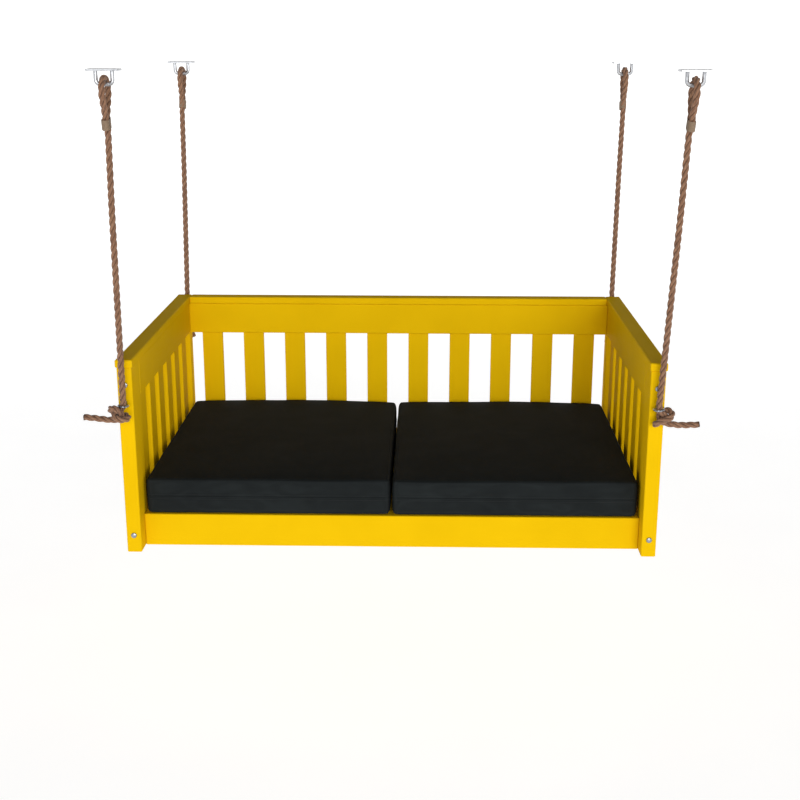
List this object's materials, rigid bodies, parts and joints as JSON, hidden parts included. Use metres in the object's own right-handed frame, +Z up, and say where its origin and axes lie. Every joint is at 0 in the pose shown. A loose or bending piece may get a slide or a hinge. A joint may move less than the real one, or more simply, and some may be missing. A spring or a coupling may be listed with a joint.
{
  "type": "porch swing seat",
  "caption": "Three-sided slatted daybed swing in painted timber with box cushions, hung by knotted ropes through eye screws from ceiling hangers.",
  "frame": {"origin": "middle of the four ceiling hanging points, level with the top faces of the hanger plates", "axes": "+Z up towards the ceiling, +Y towards the back of the seat, +X towards the right arm as seen from the front"},
  "size_m": [1.5742, 0.983, 1.247],
  "materials": {
    "painted_wood": "satin opaque yellow paint over smooth planed boards",
    "deck_board": "matt opaque yellow paint",
    "zinc_steel": "bright zinc plating",
    "hanger_steel": "galvanised",
    "rope_fibre": "brown three-strand laid rope",
    "black_canvas": "matt woven outdoor canvas"
  },
  "bodies": {
    "hangers": {"ceiling_hanger_front_left": "hanger_steel", "ceiling_hanger_front_right": "hanger_steel", "ceiling_hanger_rear_left": "hanger_steel", "ceiling_hanger_rear_right": "hanger_steel"},
    "front_ropes": {"rope_front_left": "rope_fibre", "rope_front_right": "rope_fibre"},
    "seat": {"rope_end_front_left": "rope_fibre", "rope_end_front_right": "rope_fibre", "rope_end_rear_left": "rope_fibre", "rope_end_rear_right": "rope_fibre", "eye_screw_front_left": "zinc_steel", "eye_screw_front_right": "zinc_steel", "eye_screw_rear_left": "zinc_steel", "eye_screw_rear_right": "zinc_steel", "front_post_left": "painted_wood", "front_post_right": "painted_wood", "rear_post_left": "painted_wood", "rear_post_right": "painted_wood", "arm_top_rail_left": "painted_wood", "arm_top_rail_right": "painted_wood", "arm_bottom_rail_left": "painted_wood", "arm_bottom_rail_right": "painted_wood", "back_top_rail": "painted_wood", "back_bottom_rail": "painted_wood", "front_rail": "painted_wood", "arm_cap_left": "painted_wood", "arm_cap_right": "painted_wood", "back_cap": "painted_wood", "back_slat_01": "painted_wood", "back_slat_02": "painted_wood", "back_slat_03": "painted_wood", "back_slat_04": "painted_wood", "back_slat_05": "painted_wood", "back_slat_06": "painted_wood", "back_slat_07": "painted_wood", "back_slat_08": "painted_wood", "back_slat_09": "painted_wood", "back_slat_10": "painted_wood", "arm_slat_left_1": "painted_wood", "arm_slat_left_2": "painted_wood", "arm_slat_left_3": "painted_wood", "arm_slat_left_4": "painted_wood", "arm_slat_left_5": "painted_wood", "arm_slat_left_6": "painted_wood", "arm_slat_right_1": "painted_wood", "arm_slat_right_2": "painted_wood", "arm_slat_right_3": "painted_wood", "arm_slat_right_4": "painted_wood", "arm_slat_right_5": "painted_wood", "arm_slat_right_6": "painted_wood", "frame_bolt_upper_left": "zinc_steel", "frame_bolt_lower_left": "zinc_steel", "frame_bolt_upper_right": "zinc_steel", "frame_bolt_lower_right": "zinc_steel", "deck_panel": "deck_board", "deck_batten": "deck_board"},
    "rear_ropes": {"rope_rear_left": "rope_fibre", "rope_rear_right": "rope_fibre"},
    "cushion_left": {"cushion_left": "black_canvas"},
    "cushion_right": {"cushion_right": "black_canvas"}
  },
  "joints": [
    {"name": "swing", "type": "hinge", "parent": "hangers", "child": "front_ropes", "pos_m": [0, -0.4515, -0.036], "axis": [1, 0, 0], "range_deg": [-18, 18]},
    {"name": "seat_level", "type": "hinge", "parent": "front_ropes", "child": "seat", "pos_m": [0, -0.4515, -0.703], "axis": [1, 0, 0], "range_deg": [-18, 18]},
    {"name": "rear_rope_swing", "type": "hinge", "parent": "seat", "child": "rear_ropes", "pos_m": [0, 0.4515, -0.703], "axis": [1, 0, 0], "range_deg": [-18, 18]},
    {"name": "cushion_left_lift", "type": "slide", "parent": "seat", "child": "cushion_left", "axis": [0, 0, 1], "range_m": [0, 0.48]},
    {"name": "cushion_right_lift", "type": "slide", "parent": "seat", "child": "cushion_right", "axis": [0, 0, 1], "range_m": [0, 0.48]}
  ],
  "couplings": [
    {"joint": "seat_level", "follows": "swing", "ratio": -1},
    {"joint": "rear_rope_swing", "follows": "swing", "ratio": 1}
  ]
}
